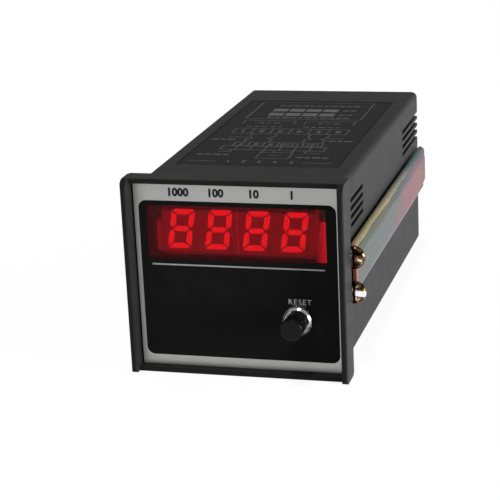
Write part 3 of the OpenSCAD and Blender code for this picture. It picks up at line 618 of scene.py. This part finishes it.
# Place values over the four digits, on the silver strip
bm = bmesh.new()
strip_z = (field_top + plate_high.z) / 2
for i, text in enumerate(("1000", "100", "10", "1")):
    spot = Matrix.Translation((first_digit + i * digit_pitch, strip_z - 0.2 * MM, 0))
    word(bm, text, 2.5 * MM, FILM, front @ spot, bold=0.17 * MM)
piece("place_value_print", bm, mark_ink)

# Wiring diagram of the top label, read from the rear: local X and Y turned half way round
bm = bmesh.new()
turned = top @ half_turn


def at(x, y):
    """A place on the label given in the model's X and Y in millimetres, in the turned plane."""
    return (-x * MM, -y * MM)


def line(x0, y0, x1, y1, width=LABEL_LINE):
    bar(bm, at(x0, y0), at(x1, y1), width, FILM, turned)


def number(text, x, y, height=2.0):
    word(bm, text, height * MM, FILM, turned @ Matrix.Translation((*at(x, y), 0)), bold=0.02 * MM)


def rectangle(x0, y0, x1, y1):
    line(x0, y0, x1, y0)
    line(x0, y1, x1, y1)
    line(x0, y0, x0, y1)
    line(x1, y0, x1, y1)


def cells(x0, y0, y1, width, count):
    """A row of boxes side by side."""
    line(x0, y0, x0 + width * count, y0)
    line(x0, y1, x0 + width * count, y1)
    for i in range(count + 1):
        line(x0 + width * i, y0, x0 + width * i, y1)


def dashes(x0, x1, y, width=0.9 * MM):
    """A row of short marks of changing length, in the place of small print."""
    x = x0
    i = 0
    while x < x1 - 1:
        size = (1.5, 0.9, 1.9, 1.2, 0.7)[i % 5]
        line(x, y, x + size, y, width)
        x += size + 1.6
        i += 1


# Frame with two rows of plain blocks
rectangle(-22, 91, 21, 119)
for y in (98.5, 105.5):
    for i in range(4):
        line(-12.9 + 6.4 * i, y, -11.5 + 6.4 * i, y, 4.2 * MM)
# Two groups over the upper row of cells
for x0, x1 in ((-21, -2), (2, 20)):
    line(x0, 88, x1, 88)
    line(x0, 88, x0, 83)
    line(x1, 88, x1, 83)
# Upper row of six cells
cells(-21, 68, 75.5, 6.9, 6)
for i in range(6):
    number(str(i + 1), -21 + 6.9 * (i + 0.5), 71.8, 3.4)
# Wires with switches
for x, turn in ((-13, 1), (-4, -1), (8, 1), (15, -1)):
    line(x, 68, x, 64)
    line(x, 64, x + 1.8 * turn, 60)
    line(x, 59.5, x, 55)
    line(x - 0.9, 59.5, x + 0.9, 59.5)
line(-13, 62, -20, 62)
line(15, 62, 21, 62)
# Lower cells, two staggered rows
cells(-15.5, 49.8, 55, 5.2, 6)
cells(-18.5, 44, 49.2, 5.2, 7)
for i in range(6):
    number(str(i + 7), -15.5 + 5.2 * (i + 0.5), 52.4, 2.6)
# Wires to the small box below
for x in (-14, -3, 1, 7.5, 12):
    line(x, 44, x, 41)
line(-14, 41, -18, 41)
line(12, 41, 17, 41)
rectangle(-3, 33, 8.2, 40.8)
line(0.6, 37, 4.8, 37)
# Small print
for x0, x1, y in ((-14, 18, 113), (12, 18.5, 105.5), (12, 18, 98.5), (-14, 17, 93.6),
                  (-25, -16, 58.5), (17, 25, 58.5), (-24, -13, 37), (11, 22, 35)):
    dashes(x0, x1, y)
for x0, x1, y in ((-15, -7, 84.5), (7, 16, 84.5), (-18, -3, 78.5), (3, 17, 78.5)):
    dashes(x0, x1, y, 0.6 * MM)
# Rules at the front edge
for x0, x1 in ((-25, -15.8), (14.4, 24)):
    line(x0, 28.2, x1, 28.2)
for i in range(5):
    number(str(i + 1), -11 + 5.4 * i, 28.4, 2.4)
piece("label_diagram_print", bm, label_ink)

# Terminal numbers on the rear panel
bm = bmesh.new()
pitch = (block_high.x - block_low.x - BLOCK_WALLS) / TERMINAL_COUNT
for i in range(2 * TERMINAL_COUNT):
    x = (i % TERMINAL_COUNT - (TERMINAL_COUNT - 1) / 2) * pitch
    z = (block_high.z + 2.6 * MM) * (1 if i < TERMINAL_COUNT else -1)
    word(bm, str(i + 1), 2.2 * MM, FILM, rear @ Matrix.Translation((x, z, 0)), bold=0.02 * MM)
piece("terminal_number_print", bm, pale_ink)


# Camera, from the right and above
yaw, rise, roll = math.radians(15.89), math.radians(17.18), math.radians(-2.64)
aim = Vector((-11.0, 50.0, -8.0)) * MM
distance = 0.585
back = Vector((math.sin(yaw) * math.cos(rise), -math.cos(yaw) * math.cos(rise), math.sin(rise)))
level = Vector((math.cos(yaw), math.sin(yaw), 0))
up = back.cross(level)
side = math.cos(roll) * level + math.sin(roll) * up
above = -math.sin(roll) * level + math.cos(roll) * up
lens = bpy.data.cameras.new("camera")
lens.lens = 120.0
lens.sensor_width = 36.0
lens.clip_start = 0.01
lens.clip_end = 50
camera = bpy.data.objects.new("camera", lens)
turn = Matrix((side, above, back)).transposed().to_4x4()
camera.matrix_world = Matrix.Translation(aim + back * distance) @ turn
scene.collection.objects.link(camera)
scene.camera = camera


# Floor, light and background

def shown_directly(tree):
    """1 for rays from the camera and for mirrored or see-through paths, 0 for the rest."""
    path = tree.nodes.new("ShaderNodeLightPath")
    first = tree.nodes.new("ShaderNodeMath")
    first.operation = "MAXIMUM"
    tree.links.new(path.outputs["Is Camera Ray"], first.inputs[0])
    tree.links.new(path.outputs["Is Glossy Ray"], first.inputs[1])
    second = tree.nodes.new("ShaderNodeMath")
    second.operation = "MAXIMUM"
    tree.links.new(first.outputs["Value"], second.inputs[0])
    tree.links.new(path.outputs["Is Transmission Ray"], second.inputs[1])
    return second.outputs["Value"]


# The floor passes under the bezel's bottom edge and the rear end of the case, which the counter rests on.
slope = math.atan2(case_low.z - bezel_low.z, case_high.y - bezel_high.y)
ground = Matrix.Translation((0, 0, bezel_low.z - FLOOR_GAP)) @ Matrix.Rotation(slope, 4, "X")
bm = bmesh.new()
bmesh.ops.create_grid(bm, x_segments=4, y_segments=4, size=FLOOR_HALF)
bmesh.ops.transform(bm, matrix=ground, verts=bm.verts)
mesh = bpy.data.meshes.new("floor")
bm.to_mesh(mesh)
bm.free()
floor = bpy.data.objects.new("floor", mesh)
scene.collection.objects.link(floor)
paper = bpy.data.materials.new("floor_paper")
paper.use_nodes = True
tree = paper.node_tree
tree.nodes.clear()
# Part of the floor's white is its own, so that the rest can carry the shadow
diffuse = tree.nodes.new("ShaderNodeBsdfDiffuse")
diffuse.inputs["Color"].default_value = (0.7, 0.7, 0.7, 1)
glow = tree.nodes.new("ShaderNodeEmission")
glow.inputs["Color"].default_value = (1, 1, 1, 1)
glow.inputs["Strength"].default_value = 1.5
share = tree.nodes.new("ShaderNodeMath")
share.operation = "MULTIPLY"
share.inputs[1].default_value = 0.6
blend = tree.nodes.new("ShaderNodeMixShader")
out = tree.nodes.new("ShaderNodeOutputMaterial")
tree.links.new(shown_directly(tree), share.inputs[0])
tree.links.new(share.outputs["Value"], blend.inputs["Fac"])
tree.links.new(diffuse.outputs["BSDF"], blend.inputs[1])
tree.links.new(glow.outputs["Emission"], blend.inputs[2])
tree.links.new(blend.outputs["Shader"], out.inputs["Surface"])
mesh.materials.append(paper)

world = bpy.data.worlds.new("studio")
scene.world = world
world.use_nodes = True
tree = world.node_tree
tree.nodes.clear()
ambient = tree.nodes.new("ShaderNodeBackground")
ambient.inputs["Strength"].default_value = 0.03
ambient.inputs["Color"].default_value = (1, 1, 1, 1)
white = tree.nodes.new("ShaderNodeBackground")
white.inputs["Strength"].default_value = 1.0
# Mirrored paths see white paper standing up behind the table, and the dimmer room above it
direction = tree.nodes.new("ShaderNodeTexCoord")
parts = tree.nodes.new("ShaderNodeSeparateXYZ")
tree.links.new(direction.outputs["Generated"], parts.inputs["Vector"])
sweep = tree.nodes.new("ShaderNodeValToRGB")
tree.links.new(parts.outputs["Z"], sweep.inputs["Fac"])
sweep.color_ramp.elements[0].position = 0.03
sweep.color_ramp.elements[0].color = (1, 1, 1, 1)
sweep.color_ramp.elements[1].position = 0.2
sweep.color_ramp.elements[1].color = (0.39, 0.39, 0.39, 1)
path = tree.nodes.new("ShaderNodeLightPath")
pick = tree.nodes.new("ShaderNodeMix")
pick.data_type = "RGBA"
tree.links.new(path.outputs["Is Camera Ray"], pick.inputs["Factor"])
tree.links.new(sweep.outputs["Color"], pick.inputs[MIX_A])
pick.inputs[MIX_B].default_value = (1, 1, 1, 1)
tree.links.new(pick.outputs[MIXED], white.inputs["Color"])
blend = tree.nodes.new("ShaderNodeMixShader")
out = tree.nodes.new("ShaderNodeOutputWorld")
tree.links.new(shown_directly(tree), blend.inputs["Fac"])
tree.links.new(ambient.outputs["Background"], blend.inputs[1])
tree.links.new(white.outputs["Background"], blend.inputs[2])
tree.links.new(blend.outputs["Shader"], out.inputs["Surface"])


def soft_lamp(name, place, target, size, power):
    lamp = bpy.data.lights.new(name, "AREA")
    lamp.shape = "SQUARE"
    lamp.size = size
    lamp.energy = power
    obj = bpy.data.objects.new(name, lamp)
    obj.location = place
    obj.rotation_mode = "QUATERNION"
    obj.rotation_quaternion = (Vector(target) - Vector(place)).to_track_quat("-Z", "Y")
    scene.collection.objects.link(obj)
    return obj


soft_lamp("key", (0.78, -0.11, 0.03), (0.0, 0.05, 0.0), 0.36, 9.6)
soft_lamp("spark", (0.02, -0.25, 0.75), (0.0, 0.0, 0.0), 0.05, 1.1)
soft_lamp("fill", (-0.35, -0.7, 0.6), (0.0, 0.05, 0.0), 0.6, 0.04)
# Lights the rear and the left side, without a streak along the top of the case
back_lamp = soft_lamp("back", (-0.6, 0.6, 0.12), (0.0, 0.1, 0.0), 0.5, 5.0)
back_lamp.visible_glossy = False

scene.view_settings.view_transform = "Standard"
